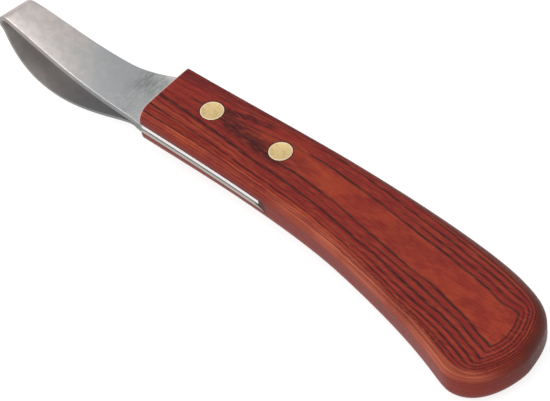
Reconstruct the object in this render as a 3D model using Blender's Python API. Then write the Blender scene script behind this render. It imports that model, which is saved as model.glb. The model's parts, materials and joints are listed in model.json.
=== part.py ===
"""A loop-bladed skiving and paring knife with a one-piece laminated wood handle, in metres.

Everything is laid out in the knife's own frame and then set down on the table by one empty:
+X runs from the blade to the butt, with x = 0 where the loop's two leaves become the tang;
+Y runs across the handle, with y = 0 on the line of the two rivets;
+Z is up, with z = 0 on the plane where the blade's two tang leaves meet.
"""

import math

import bpy
import bmesh
import numpy as np

MM = 0.001
FIT_GAP = 0.3 * MM  # clearance that a glue line or a press fit takes up

# Handle
HALF_THICKNESS = 7.0 * MM
FRONT_X = 0.5 * MM  # the handle's square-cut front
# The long edges are rounded less towards the front: radius there, and the x over which it grows
BUTT_EDGE_RADIUS = 5.0 * MM
FAR_EDGE = (1.0 * MM, 10.0 * MM, 130.0 * MM)
NEAR_EDGE = (4.3 * MM, 0.0, 40.0 * MM)
# Outline of the handle seen from above: place, heading of travel in degrees, reach in, reach out
HANDLE_OUTLINE = [
    (0.0, 9.05, 0, 0.0, 23.0),
    (59.0, 10.5, 1.2, 19.0, 18.0),
    (128.8, 6.2, -15, 17.0, 13.0),
    (146.0, -13.0, -83, 12.0, 4.0),
    (132.8, -32.6, -177, 11.0, 5.0),
    (81.0, -18.7, -191, 42.0, 20.0),
    (0.0, -13.4, -181, 32.0, 0.0),
]
BUTT_ANCHOR = 3  # the anchor at the butt, where the far side ends and the near side begins
STATIONS = 44  # along each side of the outline
CROWDING = 1.3  # above 1, the stations stand closer together towards the butt
CHORD_STEPS = 6  # across each wide face

# Blade: one steel strip, bent back on itself into a loop that ends in two tang leaves
STRIP_THICKNESS = 1.6 * MM
LEAF_GAP = 0.15 * MM
UPPER_LEAF_END = 48.5 * MM
LOWER_LEAF_END = 50.5 * MM
LEAF_LEVEL = (STRIP_THICKNESS + LEAF_GAP) / 2
# The strip's middle line seen from the side, ahead of the handle, from the upper leaf to the lower
LOOP_PATH = [
    (0.0, LEAF_LEVEL / MM, 180, 0.0, 25.0),
    (-53.6, 10.0, 163.5, 21.0, 1.7),
    (-57.1, 7.3, 270, 1.5, 1.0),
    (-56.1, 5.2, 315, 1.0, 2.0),
    (-36.5, -10.9, 360, 17.0, 11.0),
    (-5.5, -1.5, 378, 6.5, 1.5),
    (-2.0, -LEAF_LEVEL / MM, 360, 1.5, 0.0),
]
LOOP_REACH = 57.0 * MM
LOOP_NEAR_TAPER = 1.9 * MM  # how far the near edge comes in from the handle to the tip
LOOP_FAR_Y = 4.7 * MM  # where the far edge would meet the handle if it did not flare
LOOP_FAR_TAPER = 5.2 * MM
FLARE_RISE = 4.8 * MM  # the far edge sweeps out by this much as it reaches the handle
FLARE_LENGTH = 19.0 * MM
TIP_SKEW = 0.18  # the fold runs slightly askew, so that the near corner leads
TIP_CORNER = 1.2 * MM  # the far corner of the fold is rounded off by this much
TIP_SHARPNESS = 16
FLARE_END = 4.5 * MM  # inside the handle, where the flare has reached the handle's own edge
GRIND_WIDTH = 0.5 * MM
GRIND_DEPTH = 0.7 * MM  # how much of the strip's thickness the grinding takes off at its edges
GRIND_RUN_OUT = 2.0 * MM
EDGE_BREAK = 0.05  # the share of the grind that only breaks the sharp edge of the tang
GRIND_AT_TIP = 0.5  # the grind shrinks to this share of itself where the strip folds
LEAF_STEPS = 8

# Cutlery rivets, each a tube half from above and a pin half from below
RIVET_X = (18.0 * MM, 44.6 * MM)
RIVET_HEAD_RADIUS = 3.6 * MM
RIVET_HEAD_HEIGHT = 1.6 * MM
TUBE_RADIUS = 2.5 * MM
TUBE_BORE_RADIUS = 1.75 * MM
PIN_RADIUS = TUBE_BORE_RADIUS - FIT_GAP
RIVET_END_GAP = 0.6 * MM

STEPS_PER_BEND = 10
TURN_STEPS = 40
EDGE_STEPS = 6
MERGE_DISTANCE = 0.001 * MM
SMOOTH_ANGLE = 30  # degrees; steeper corners stay sharp
MOST_TILT = math.radians(5)  # the knife rests on the table at less of a tilt than this
TILT_TOLERANCE = math.radians(0.0005)


def clear_scene():
    for obj in list(bpy.data.objects):
        bpy.data.objects.remove(obj, do_unlink=True)


def material(name, colour, roughness, metallic):
    made = bpy.data.materials.new(name)
    made.use_nodes = True
    shader = made.node_tree.nodes["Principled BSDF"]
    shader.inputs["Base Color"].default_value = (*colour, 1.0)
    shader.inputs["Roughness"].default_value = roughness
    shader.inputs["Metallic"].default_value = metallic
    return made


def add_object(name, mesh, parent, finish=None):
    obj = bpy.data.objects.new(name, mesh)
    bpy.context.scene.collection.objects.link(obj)
    obj.parent = parent
    if finish:
        mesh.materials.append(finish)
    return obj


def cut(target, cutter):
    """Takes the cutter's shape out of the target."""
    cutter.hide_render = True
    cutter.display_type = "WIRE"
    modifier = target.modifiers.new("cut_" + cutter.name, "BOOLEAN")
    modifier.operation = "DIFFERENCE"
    modifier.solver = "EXACT"
    modifier.object = cutter


def handles_of(anchor):
    """The point of an anchor, and the two control points that its heading and reaches give."""
    x, y, heading, reach_in, reach_out = anchor
    point = np.array([x, y]) * MM
    along = np.array([math.cos(math.radians(heading)), math.sin(math.radians(heading))])
    return point - along * reach_in * MM, point, point + along * reach_out * MM


def smooth_path(anchors):
    """Points along the Bezier curve through the anchors."""
    points = [handles_of(anchors[0])[1]]
    for first, second in zip(anchors, anchors[1:]):
        _, start, leaving = handles_of(first)
        arriving, end, _ = handles_of(second)
        for t in np.linspace(0.0, 1.0, STEPS_PER_BEND + 1)[1:]:
            s = 1.0 - t
            points.append(
                s**3 * start + 3 * s * s * t * leaving + 3 * s * t * t * arriving + t**3 * end
            )
    return np.array(points)


# ---------------------------------------------------------------- handle


def handle_sides():
    """The outline's far and near sides, each from the front to the butt, as (x, y)."""
    outline = smooth_path(HANDLE_OUTLINE)
    butt = BUTT_ANCHOR * STEPS_PER_BEND
    return outline[: butt + 1], outline[butt:][::-1]


def edge_radius(x, front_radius, start, end):
    """How round a long edge is at x: it grows smoothly from the front's radius to the butt's."""
    share = np.clip((x - start) / (end - start), 0.0, 1.0)
    return front_radius + (BUTT_EDGE_RADIUS - front_radius) * share * share * (3 - 2 * share)


def stations_along(side):
    """Points along one side of the outline, from the handle's front to its butt."""
    steps = np.linalg.norm(np.diff(side, axis=0), axis=1)
    travelled = np.concatenate([[0.0], np.cumsum(steps)])
    first_bend = slice(STEPS_PER_BEND)
    start = np.interp(FRONT_X, side[first_bend, 0], travelled[first_bend])
    share = 1.0 - (1.0 - np.linspace(0.0, 1.0, STATIONS + 1)) ** CROWDING
    places = start + (travelled[-1] - start) * share
    return np.stack([np.interp(places, travelled, side[:, axis]) for axis in (0, 1)], axis=1)


def edge_rings():
    """Rings of points round the handle, from the top face's rim down to the bottom face's."""
    far, near = [stations_along(side) for side in handle_sides()]
    radius = np.concatenate(
        [edge_radius(far[:, 0], *FAR_EDGE), edge_radius(near[-2::-1, 0], *NEAR_EDGE)]
    )
    outline = np.concatenate([far, near[-2::-1]])
    along = np.gradient(outline, axis=0)
    along /= np.linalg.norm(along, axis=1)[:, None]
    inward = np.stack([along[:, 1], -along[:, 0]], axis=1)
    inward[[0, -1]] = (0.0, -1.0), (0.0, 1.0)
    rings = []
    for angle in np.linspace(math.pi / 2, 0.0, EDGE_STEPS + 1):
        inset = radius * (1.0 - math.cos(angle))
        height = HALF_THICKNESS - radius * (1.0 - math.sin(angle))
        rings.append(np.column_stack([outline + inward * inset[:, None], height]))
    return rings + [ring * (1.0, 1.0, -1.0) for ring in reversed(rings)]


def fill_face(block, ring):
    """Fills a wide face with chords from its far rim to its near one; returns the front chord."""
    chords = []
    for far, near in zip(ring[:STATIONS], reversed(ring)):
        shares = np.linspace(0.0, 1.0, CHORD_STEPS + 1)[1:-1]
        inner = [block.verts.new(far.co.lerp(near.co, share)) for share in shares]
        chords.append([far, *inner, near])
    for chord, following in zip(chords, chords[1:]):
        for j in range(CHORD_STEPS):
            block.faces.new((chord[j], chord[j + 1], following[j + 1], following[j]))
    for j in range(CHORD_STEPS):
        block.faces.new((chords[-1][j], chords[-1][j + 1], ring[STATIONS]))
    return chords[0]


def handle_block(parent, finish):
    """The outline given its thickness and its rounded edges, with a square front."""
    block = bmesh.new()
    rings = [[block.verts.new(point) for point in ring] for ring in edge_rings()]
    for ring, below in zip(rings, rings[1:]):
        for i in range(len(ring) - 1):
            block.faces.new((ring[i], ring[i + 1], below[i + 1], below[i]))
    top = fill_face(block, rings[0])
    bottom = fill_face(block, rings[-1])
    near_side = [ring[-1] for ring in rings[1:-1]]
    far_side = [ring[0] for ring in rings[-2:0:-1]]
    block.faces.new(top + near_side + bottom[::-1] + far_side)
    bmesh.ops.remove_doubles(block, verts=block.verts, dist=MERGE_DISTANCE)
    bmesh.ops.recalc_face_normals(block, faces=block.faces)
    mesh = bpy.data.meshes.new("handle")
    block.to_mesh(mesh)
    block.free()
    return add_object("handle", mesh, parent, finish)


def box_mesh(name, low, high):
    """A box between two corners."""
    shape = bmesh.new()
    bmesh.ops.create_cube(shape, size=1.0)
    for vertex in shape.verts:
        for axis in range(3):
            vertex.co[axis] = high[axis] if vertex.co[axis] > 0 else low[axis]
    mesh = bpy.data.meshes.new(name)
    shape.to_mesh(mesh)
    shape.free()
    return mesh


def make_handle(parent, finish):
    """The block, with a slot for the tang's leaves and a stepped hole for each rivet."""
    handle = handle_block(parent, finish)
    clear = 3 * HALF_THICKNESS
    slot_half = LEAF_LEVEL + STRIP_THICKNESS / 2 + FIT_GAP
    slot_end = LOWER_LEAF_END + FIT_GAP
    slot = box_mesh("tang_slot", (-clear, -clear, -slot_half), (slot_end, clear, slot_half))
    cut(handle, add_object("tang_slot", slot, parent))
    hole_radius = TUBE_RADIUS + FIT_GAP
    seat_radius = RIVET_HEAD_RADIUS + FIT_GAP
    seat = HALF_THICKNESS - RIVET_HEAD_HEIGHT - FIT_GAP
    for number, x in enumerate(RIVET_X):
        profile = [(seat_radius, clear), (seat_radius, seat), (hole_radius, seat)]
        profile += [(radius, -z) for radius, z in reversed(profile)]
        cut(handle, turned(f"rivet_hole_{number}", profile, x, parent))
    shade(handle)
    return handle


# ---------------------------------------------------------------- blade


def strip_stations():
    """(x, z) along the strip's middle line, from the end of the upper leaf to that of the lower."""
    upper = [(x, LEAF_LEVEL) for x in np.linspace(UPPER_LEAF_END, FLARE_END, LEAF_STEPS)]
    lower = [(x, -LEAF_LEVEL) for x in np.linspace(FLARE_END, LOWER_LEAF_END, LEAF_STEPS)]
    front = [(0.0, -LEAF_LEVEL)]
    return np.array(upper + list(smooth_path(LOOP_PATH)) + front + lower)


def strip_edges(x, far_side, near_side):
    """The y of the strip's near and far edges at x: flush with the handle, then tapering."""
    ahead = -x / LOOP_REACH
    near_flush = float(np.interp(x, near_side[:, 0], near_side[:, 1]))
    far_flush = float(np.interp(x, far_side[:, 0], far_side[:, 1]))
    near = near_flush + LOOP_NEAR_TAPER * max(ahead, 0.0)
    swell = max(1.0 + x / FLARE_LENGTH, 0.0)
    far = LOOP_FAR_Y - LOOP_FAR_TAPER * ahead + FLARE_RISE * swell * swell
    far -= TIP_CORNER * near_tip(x)
    return near, min(far, far_flush)


def near_tip(x):
    """0 along the loop, rising to 1 over the last few millimetres before the fold."""
    return min(max(-x / LOOP_REACH, 0.0), 1.0) ** TIP_SHARPNESS


def grind_at(x):
    """The share of the full grind at x: none in the handle, and little where the strip folds."""
    run_out = min(max(-x / GRIND_RUN_OUT, EDGE_BREAK), 1.0)
    return run_out * (1.0 - (1.0 - GRIND_AT_TIP) * near_tip(x))


def strip_section(near, far, ground):
    """(y, height above the inner face) round the strip's section, ground thin at both edges."""
    width = GRIND_WIDTH * ground
    edge = STRIP_THICKNESS - GRIND_DEPTH * ground
    return [
        (near, 0.0),
        (near, edge),
        (near + width, STRIP_THICKNESS),
        (far - width, STRIP_THICKNESS),
        (far, edge),
        (far, 0.0),
    ]


def make_blade(parent, finish):
    far_side, near_side = handle_sides()
    stations = strip_stations()
    along = np.gradient(stations, axis=0)
    along /= np.linalg.norm(along, axis=1)[:, None]
    strip = bmesh.new()
    rings = []
    for (x, z), (along_x, along_z) in zip(stations, along):
        near, far = strip_edges(x, far_side, near_side)
        skew = TIP_SKEW * max(-x / LOOP_REACH, 0.0) ** 2
        ring = []
        for y, height in strip_section(near, far, grind_at(x)):
            out = height - STRIP_THICKNESS / 2
            place_x = x + along_z * out + skew * (y - (near + far) / 2)
            ring.append(strip.verts.new((place_x, y, z - along_x * out)))
        rings.append(ring)
    for ring, following in zip(rings, rings[1:]):
        for i, vertex in enumerate(ring):
            j = (i + 1) % len(ring)
            strip.faces.new((vertex, ring[j], following[j], following[i]))
    strip.faces.new(rings[0])
    strip.faces.new(rings[-1])
    bmesh.ops.recalc_face_normals(strip, faces=strip.faces)
    mesh = bpy.data.meshes.new("loop_blade")
    strip.to_mesh(mesh)
    strip.free()
    blade = add_object("loop_blade", mesh, parent, finish)
    hole_radius = TUBE_RADIUS + FIT_GAP
    for number, x in enumerate(RIVET_X):
        profile = [(hole_radius, HALF_THICKNESS), (hole_radius, -HALF_THICKNESS)]
        cut(blade, turned(f"tang_hole_{number}", profile, x, parent))
    shade(blade)
    return blade


# ---------------------------------------------------------------- rivets


def turned(name, profile, x, parent, finish=None):
    """A solid turned about the vertical line at x, its profile running down the outer side."""
    closed = [(0.0, profile[0][1]), *profile, (0.0, profile[-1][1])]
    shape = bmesh.new()
    points = [shape.verts.new((radius, 0.0, z)) for radius, z in closed]
    for first, second in zip(points, points[1:]):
        shape.edges.new((first, second))
    mesh = bpy.data.meshes.new(name)
    shape.to_mesh(mesh)
    shape.free()
    obj = add_object(name, mesh, parent, finish)
    obj.location = (x, 0.0, 0.0)
    screw = obj.modifiers.new("turn", "SCREW")
    screw.axis = "Z"
    screw.steps = TURN_STEPS
    screw.render_steps = TURN_STEPS
    screw.use_merge_vertices = True
    screw.merge_threshold = MERGE_DISTANCE
    return obj


def make_rivet(number, x, parent, finish):
    """A tube half whose head is flush with the top, and a pin half flush with the underside."""
    top = HALF_THICKNESS
    tube_end = -top + RIVET_HEAD_HEIGHT + RIVET_END_GAP
    tube_roof = top - RIVET_HEAD_HEIGHT - RIVET_END_GAP
    tube = [
        (RIVET_HEAD_RADIUS, top),
        (RIVET_HEAD_RADIUS, top - RIVET_HEAD_HEIGHT),
        (TUBE_RADIUS, top - RIVET_HEAD_HEIGHT),
        (TUBE_RADIUS, tube_end),
        (TUBE_BORE_RADIUS, tube_end),
        (TUBE_BORE_RADIUS, tube_roof),
    ]
    pin = [
        (PIN_RADIUS, tube_roof - RIVET_END_GAP),
        (PIN_RADIUS, -top + RIVET_HEAD_HEIGHT),
        (RIVET_HEAD_RADIUS, -top + RIVET_HEAD_HEIGHT),
        (RIVET_HEAD_RADIUS, -top),
    ]
    halves = [
        turned(f"rivet_{number}_tube_half", tube, x, parent, finish),
        turned(f"rivet_{number}_pin_half", pin, x, parent, finish),
    ]
    for half in halves:
        shade(half)
    return halves


def shade(obj):
    """Smooth shading, kept sharp at the steeper corners."""
    obj.data.shade_smooth()
    obj.data.set_sharp_from_angle(angle=math.radians(SMOOTH_ANGLE))


# ---------------------------------------------------------------- at rest on the table


def corners_of(objects):
    """Every corner of the finished pieces, in the knife's frame."""
    bpy.context.view_layer.update()
    graph = bpy.context.evaluated_depsgraph_get()
    found = []
    for obj in objects:
        done = obj.evaluated_get(graph)
        mesh = done.to_mesh()
        found += [tuple(done.matrix_world @ vertex.co) for vertex in mesh.vertices]
        done.to_mesh_clear()
    return np.array(found)


def tilted(points, angle):
    """The points turned about +Y, which lifts the blade end for a positive angle."""
    turn = np.array(
        [[math.cos(angle), 0, math.sin(angle)], [0, 1, 0], [-math.sin(angle), 0, math.cos(angle)]]
    )
    return points @ turn.T


def set_down(rest, pieces):
    """Tilts the knife until its loop and its butt both touch the table, centred on the origin."""
    points = corners_of(pieces)
    ahead = points[:, 0] < 0
    low, high = 0.0, MOST_TILT
    while high - low > TILT_TOLERANCE:
        angle = (low + high) / 2
        heights = tilted(points, angle)[:, 2]
        if heights[ahead].min() < heights[~ahead].min():
            low = angle
        else:
            high = angle
    points = tilted(points, angle)
    middle = (points.min(axis=0) + points.max(axis=0)) / 2
    rest.rotation_euler = (0.0, angle, 0.0)
    rest.location = (-middle[0], -middle[1], -points[:, 2].min())


def main():
    clear_scene()
    wood = material("laminated_wood", (0.27, 0.045, 0.025), 0.45, 0.0)
    steel = material("ground_steel", (0.52, 0.51, 0.50), 0.38, 1.0)
    brass = material("brass", (0.75, 0.58, 0.28), 0.35, 1.0)
    rest = bpy.data.objects.new("knife_at_rest", None)
    bpy.context.scene.collection.objects.link(rest)
    pieces = [make_handle(rest, wood), make_blade(rest, steel)]
    for number, x in enumerate(RIVET_X, start=1):
        pieces += make_rivet(number, x, rest, brass)
    set_down(rest, pieces)


main()
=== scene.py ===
"""A loop-bladed skiving knife on a white table: laminated wood, satin steel and two brass rivets.

Each piece is drawn in the knife's own frame and carried to the table by one matrix:
+X runs from the blade to the butt, with x = 0 where the loop's leaves close into the tang;
+Y runs across the handle, with y = 0 on the line of the two rivets;
+Z is up, with z = 0 on the plane where the two leaves meet.
"""

import json
import math

import bmesh
import bpy
import numpy as np
from mathutils import Matrix, Vector


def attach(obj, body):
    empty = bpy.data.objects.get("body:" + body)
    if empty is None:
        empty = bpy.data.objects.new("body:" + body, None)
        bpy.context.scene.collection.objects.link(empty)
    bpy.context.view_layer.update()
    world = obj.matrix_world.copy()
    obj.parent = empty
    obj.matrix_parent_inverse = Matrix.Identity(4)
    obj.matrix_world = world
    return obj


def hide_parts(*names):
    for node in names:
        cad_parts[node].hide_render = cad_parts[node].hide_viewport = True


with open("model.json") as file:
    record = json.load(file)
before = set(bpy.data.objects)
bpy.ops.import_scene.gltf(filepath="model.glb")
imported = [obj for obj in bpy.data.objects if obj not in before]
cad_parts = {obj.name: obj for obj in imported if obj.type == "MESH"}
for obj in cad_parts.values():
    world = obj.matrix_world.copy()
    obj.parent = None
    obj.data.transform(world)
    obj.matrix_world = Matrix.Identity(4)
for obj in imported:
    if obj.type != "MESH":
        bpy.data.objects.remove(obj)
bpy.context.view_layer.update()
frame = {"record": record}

MM = 0.001

# Handle
HALF_THICKNESS = 7.0 * MM
BUTT_EDGE_RADIUS = 5.0 * MM  # the handle's long edges are rounded less and less towards its front
FAR_EDGE_RADIUS = 1.0 * MM
NEAR_EDGE_RADIUS = 4.3 * MM
FAR_EDGE_RUN = (10.0 * MM, 130.0 * MM)
NEAR_EDGE_RUN = (0.0, 40.0 * MM)
FRONT_X = 0.5 * MM
CROWN = 0.12 * MM  # how far the wide faces fall away from their middle to their rounded edges
CROWN_WIDTH = 8.0 * MM
SANDED = 0.05 * MM  # the finished wood lies this far inside the outline
FRONT_BREAK = 0.3 * MM  # the sharp edge round the square front is eased by this much
FRONT_BREAK_SHARES = (0.0, 0.13, 0.4, 1.0)  # where the stations stand along that easing
# Outline of the handle seen from above: x, y, heading of travel in degrees, reach in, reach out
HANDLE_OUTLINE = [
    (0.0, 9.05, 0, 0.0, 23.0),
    (59.0, 10.5, 1.2, 19.0, 18.0),
    (128.8, 6.2, -15, 17.0, 13.0),
    (146.0, -13.0, -83, 12.0, 4.0),
    (132.8, -32.6, -177, 11.0, 5.0),
    (81.0, -18.7, -191, 42.0, 20.0),
    (0.0, -13.4, -181, 32.0, 0.0),
]
BUTT_ANCHOR = 3
STATIONS = 96  # along each side of the outline
STATION_CROWDING = 1.3  # above 1, the stations crowd together towards the butt
CHORD_STEPS = 18
ROUND_STEPS = 10
OUTLINE_STEPS = 60
FRONT_SLICES = ((1, -13.0, 11.0), (2, -7.0, 7.0))  # axis, and from and to in millimetres
FRONT_SLICE_STEP = 1.0
HANDLE_SHARP_ANGLE = 35

# Blade: one strip bent back on itself, ending in two tang leaves
STRIP = 1.58 * MM
LEAF_GAP = 0.15 * MM
LEAF_LEVEL = (STRIP + LEAF_GAP) / 2
UPPER_LEAF_END = 48.5 * MM
LOWER_LEAF_END = 50.5 * MM
LEAF_POINT = 4.0 * MM  # the lower leaf thins to a point over this length
POINT_SHARE = 0.08  # the share of its thickness that is left at the point
# The strip's middle line seen from the side, ahead of the handle, from the upper leaf to the lower
LOOP_PATH = [
    (0.0, LEAF_LEVEL / MM, 180, 0.0, 25.0),
    (-53.6, 10.0, 163.5, 21.0, 1.7),
    (-57.1, 7.3, 270, 1.5, 1.0),
    (-56.1, 5.2, 315, 1.0, 2.0),
    (-36.5, -10.9, 360, 17.0, 11.0),
    (-5.5, -1.5, 378, 6.5, 1.5),
    (-2.0, -LEAF_LEVEL / MM, 360, 1.5, 0.0),
]
LOOP_STEPS = 22
LEAF_STEPS = 12
LOOP_REACH = 57.0 * MM  # from x = 0 forward to the fold
LOOP_NEAR_TAPER = 1.9 * MM  # how far each edge draws in by the fold
LOOP_FAR_TAPER = 5.2 * MM
LOOP_FAR_Y = 4.7 * MM  # where the far edge would meet x = 0 without its flare
FLARE_RISE = 4.8 * MM
FLARE_LENGTH = 19.0 * MM
FLARE_END = 4.5 * MM  # the flare meets the handle's side by this x
TIP_SKEW = 0.18  # how far the fold leans, as x against y
TIP_CORNER = 1.2 * MM  # the far corner of the fold is drawn in by this much
TIP_SHARPNESS = 16
GRIND_WIDTH = 0.5 * MM
GRIND_DEPTH = 0.7 * MM
GRIND_RUN_OUT = 2.0 * MM
GRIND_AT_TIP = 0.5  # shares of the full grind, at the fold and in the handle
EDGE_BREAK = 0.05
STRIP_CORNER = 0.09 * MM
CORNER_LIMIT = 0.4  # a corner's round takes no more than this share of a side
BLADE_SHARP_ANGLE = 25

# Rivets
RIVET_X = (18.0 * MM, 44.6 * MM)
HEAD_RADIUS = 3.6 * MM
HEAD_HEIGHT = 1.6 * MM
TUBE_RADIUS = 2.5 * MM
BORE_RADIUS = 1.75 * MM
PIN_RADIUS = 1.45 * MM
RIVET_END_GAP = 0.6 * MM
RIM_WIDTH = 0.34 * MM  # the bright rim, which stands a little above the dished face
RIM_EASE = 0.1 * MM
RIM_FOOT = 0.01 * MM
RIM_CORNER = 0.03 * MM
HEAD_DISH = 0.04 * MM
RIVET_STEPS = 96
RIVET_SHARP_ANGLE = 40

GLUE_LINE = 0.12 * MM  # the wood stands off the steel and the brass by this much

# Veneers, as the wood's figure shows them, in millimetres
VENEER = 0.48  # thickness; every second glue line is dark
WAVE = 0.55  # how far the veneers stray from flat over a few centimetres
RIPPLE = 0.12  # and over a few millimetres
DOME = 0.21  # how much more the sanding took off for each millimetre nearer the outline
DOME_LEVEL = 11.3  # the top veneer's edge shows this far from the outline
DOME_RANGE = (0.0, 12.5)
FAR_LIFT = 5.2  # the far side was sanded less near the front, so the veneers' edges show nearer to it
FAR_LIFT_RUN = (50.0, 118.0)
NEAR_DROP = 2.7  # and the near side was sanded more near the butt
NEAR_DROP_RUN = (98.0, 124.0)
FRONT_SPREAD = 0.05  # the veneers' edges close in on the middle towards the front
FRONT_SPREAD_FROM = 59.0
BUTT_CROWDING = 0.55  # and they crowd together round the butt
BUTT_CROWDING_RUN = (130.0, 142.0)

# Camera, in the knife's frame
CAMERA_AZIMUTH = 46.603
CAMERA_ELEVATION = 48.554
CAMERA_ROLL = -7.359
CAMERA_DISTANCE = 900 * MM
CAMERA_TARGET = (55.73 * MM, -15.21 * MM, 7.0 * MM)
CAMERA_LENS = 207.41
SENSOR_WIDTH = 36.0

# Table and light
TABLE_HALF_WIDTH = 3.0
TABLE_GRAIN = (0.003, 0.003, 0.003)
TABLE_GREYS = [(0.0, (0.28, 0.28, 0.28)), (1.0, (0.34, 0.34, 0.34))]
TABLE_ROUGHNESS = 0.8
TABLE_GLOW = 0.8
WHITE = (1.0, 1.0, 1.0, 1.0)
STUDIO_STRENGTH = 0.72
# Each lamp: azimuth and elevation in degrees, distance and size in metres, power in watts
LAMPS = {
    "overhead": (20, 75, 1.2, 0.9, 5),
    "near_side": (-24, 30, 1.2, 0.6, 3.5),
}

MOUNT_POINT = (95.0 * MM, -4.0 * MM, -HALF_THICKNESS)  # the underside's mount, in the knife's frame
MERGE_DISTANCE = 0.001 * MM
ON_FACE = 0.001 * MM  # a face this close to a plane lies in it
MATCH_PLACES = 7  # points whose metres agree to this many decimal places are the same


def rest_matrix():
    """Carries the knife's frame to the table, read from the mount on the handle's underside."""
    mount = frame["record"]["mounts"][0]
    tilt = math.asin(-mount["axis"][0])
    turn = Matrix.Rotation(tilt, 4, "Y")
    shift = Vector(mount["pos_m"]) - turn @ Vector(MOUNT_POINT)
    return Matrix.Translation(shift) @ turn


REST = rest_matrix()


# ---------------------------------------------------------------- mesh helpers


def smooth_path(anchors, steps):
    """Points along the Bezier curve through the anchors, which are in millimetres, in metres."""
    points = [np.array(anchors[0][:2]) * MM]
    for first, second in zip(anchors, anchors[1:]):
        start, end = np.array(first[:2]) * MM, np.array(second[:2]) * MM
        leaving = start + heading(first[2]) * first[4] * MM
        arriving = end - heading(second[2]) * second[3] * MM
        for t in np.linspace(0.0, 1.0, steps + 1)[1:]:
            s = 1.0 - t
            points.append(
                s**3 * start + 3 * s * s * t * leaving + 3 * s * t * t * arriving + t**3 * end
            )
    return np.array(points)


def heading(degrees):
    """The unit way of a heading in degrees: 0 is along x, and 90 along a path's other axis."""
    return np.array([math.cos(math.radians(degrees)), math.sin(math.radians(degrees))])


def directions(points):
    """The unit direction of travel at each point of a path."""
    along = np.gradient(points, axis=0)
    return along / np.linalg.norm(along, axis=1)[:, None]


def smooth_step(value, low, high):
    """0 at the low value and 1 at the high one, eased at both ends."""
    share = np.clip((value - low) / (high - low), 0.0, 1.0)
    return share * share * (3.0 - 2.0 * share)


def mesh_object(name, vertices, faces):
    """A new object from vertices and faces: points that meet are merged, and it faces out."""
    mesh = bpy.data.meshes.new(name)
    mesh.from_pydata([tuple(v) for v in vertices], [], [tuple(f) for f in faces])
    tidy = bmesh.new()
    tidy.from_mesh(mesh)
    bmesh.ops.remove_doubles(tidy, verts=tidy.verts, dist=MERGE_DISTANCE)
    bmesh.ops.recalc_face_normals(tidy, faces=tidy.faces)
    tidy.to_mesh(mesh)
    tidy.free()
    obj = bpy.data.objects.new(name, mesh)
    bpy.context.scene.collection.objects.link(obj)
    return obj


def cut_away(target, cutters):
    """Takes the cutters' shapes out of the target for good, and removes the cutters."""
    for cutter in cutters:
        modifier = target.modifiers.new(cutter.name, "BOOLEAN")
        modifier.operation = "DIFFERENCE"
        modifier.solver = "EXACT"
        modifier.object = cutter
    graph = bpy.context.evaluated_depsgraph_get()
    target.data = bpy.data.meshes.new_from_object(target.evaluated_get(graph))
    target.modifiers.clear()
    for cutter in cutters:
        bpy.data.objects.remove(cutter, do_unlink=True)


def prism_across(name, profile, half_width):
    """A solid of an (x, z) profile, run across the handle."""
    count = len(profile)
    vertices = [(x, y, z) for y in (-half_width, half_width) for x, z in profile]
    sides = [(i, (i + 1) % count, count + (i + 1) % count, count + i) for i in range(count)]
    ends = [tuple(range(count)), tuple(range(count, 2 * count))]
    return mesh_object(name, vertices, sides + ends)


def ring_faces(rings, size):
    """The faces that join closed rings of vertices, one ring after another."""
    faces = []
    for ring in range(rings - 1):
        low, high = ring * size, (ring + 1) * size
        for i in range(size):
            j = (i + 1) % size
            faces.append((low + i, low + j, high + j, high + i))
    return faces


def turned(name, profile, x):
    """A solid turned about the vertical line at x, from (radius, z) down its outer side."""
    closed = [(0.0, profile[0][1]), *profile, (0.0, profile[-1][1])]
    vertices = []
    for radius, z in closed:
        for angle in np.linspace(0.0, 2 * math.pi, RIVET_STEPS, endpoint=False):
            vertices.append((radius * math.cos(angle), radius * math.sin(angle), z))
    obj = mesh_object(name, vertices, ring_faces(len(closed), RIVET_STEPS))
    obj.location = (x, 0.0, 0.0)
    bpy.context.view_layer.update()
    return obj


def shade(obj, angle):
    """Smooth shading, kept sharp at corners steeper than the angle in degrees."""
    obj.data.shade_smooth()
    obj.data.set_sharp_from_angle(angle=math.radians(angle))


def finish_piece(obj, node, surface):
    """Lays the piece on the table in place of its CAD node, with its surface."""
    mesh = obj.data
    place = mesh.attributes.new("place", "FLOAT_VECTOR", "POINT")
    for spot, vertex in zip(place.data, mesh.vertices):
        spot.vector = vertex.co / MM
    mesh.transform(REST @ obj.matrix_world)
    obj.matrix_world = Matrix.Identity(4)
    mesh.materials.clear()
    mesh.materials.append(surface)
    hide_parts(node)
    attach(obj, "root")


# ---------------------------------------------------------------- node helpers

# The mix node has sockets of the same names for every kind of data: these are the colour ones
MIX_SHARE, MIX_FIRST, MIX_SECOND, MIX_RESULT = 0, 6, 7, 2


def add_node(tree, kind, settings=None, inputs=None):
    """A new node with its settings, and its inputs by name or number, each a value or a socket."""
    made = tree.nodes.new(kind)
    for name, value in (settings or {}).items():
        setattr(made, name, value)
    set_inputs(tree, made, inputs or {})
    return made


def sums(tree, operation, first, second=0.0):
    """One step of arithmetic on one or two values, each a number or a socket."""
    made = add_node(tree, "ShaderNodeMath", {"operation": operation}, {0: first, 1: second})
    return made.outputs[0]


def ranged(tree, value, start, end, at_start=0.0, at_end=1.0):
    """The value eased over a range, whichever of its ends is the larger."""
    inputs = {"Value": value, "From Min": start, "From Max": end}
    inputs.update({"To Min": at_start, "To Max": at_end})
    settings = {"interpolation_type": "SMOOTHSTEP"}
    return add_node(tree, "ShaderNodeMapRange", settings, inputs).outputs["Result"]


def mixed(tree, share, first, second):
    """Two colours mixed by a share."""
    inputs = {MIX_SHARE: share, MIX_FIRST: first, MIX_SECOND: second}
    return add_node(tree, "ShaderNodeMix", {"data_type": "RGBA"}, inputs).outputs[MIX_RESULT]


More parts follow.
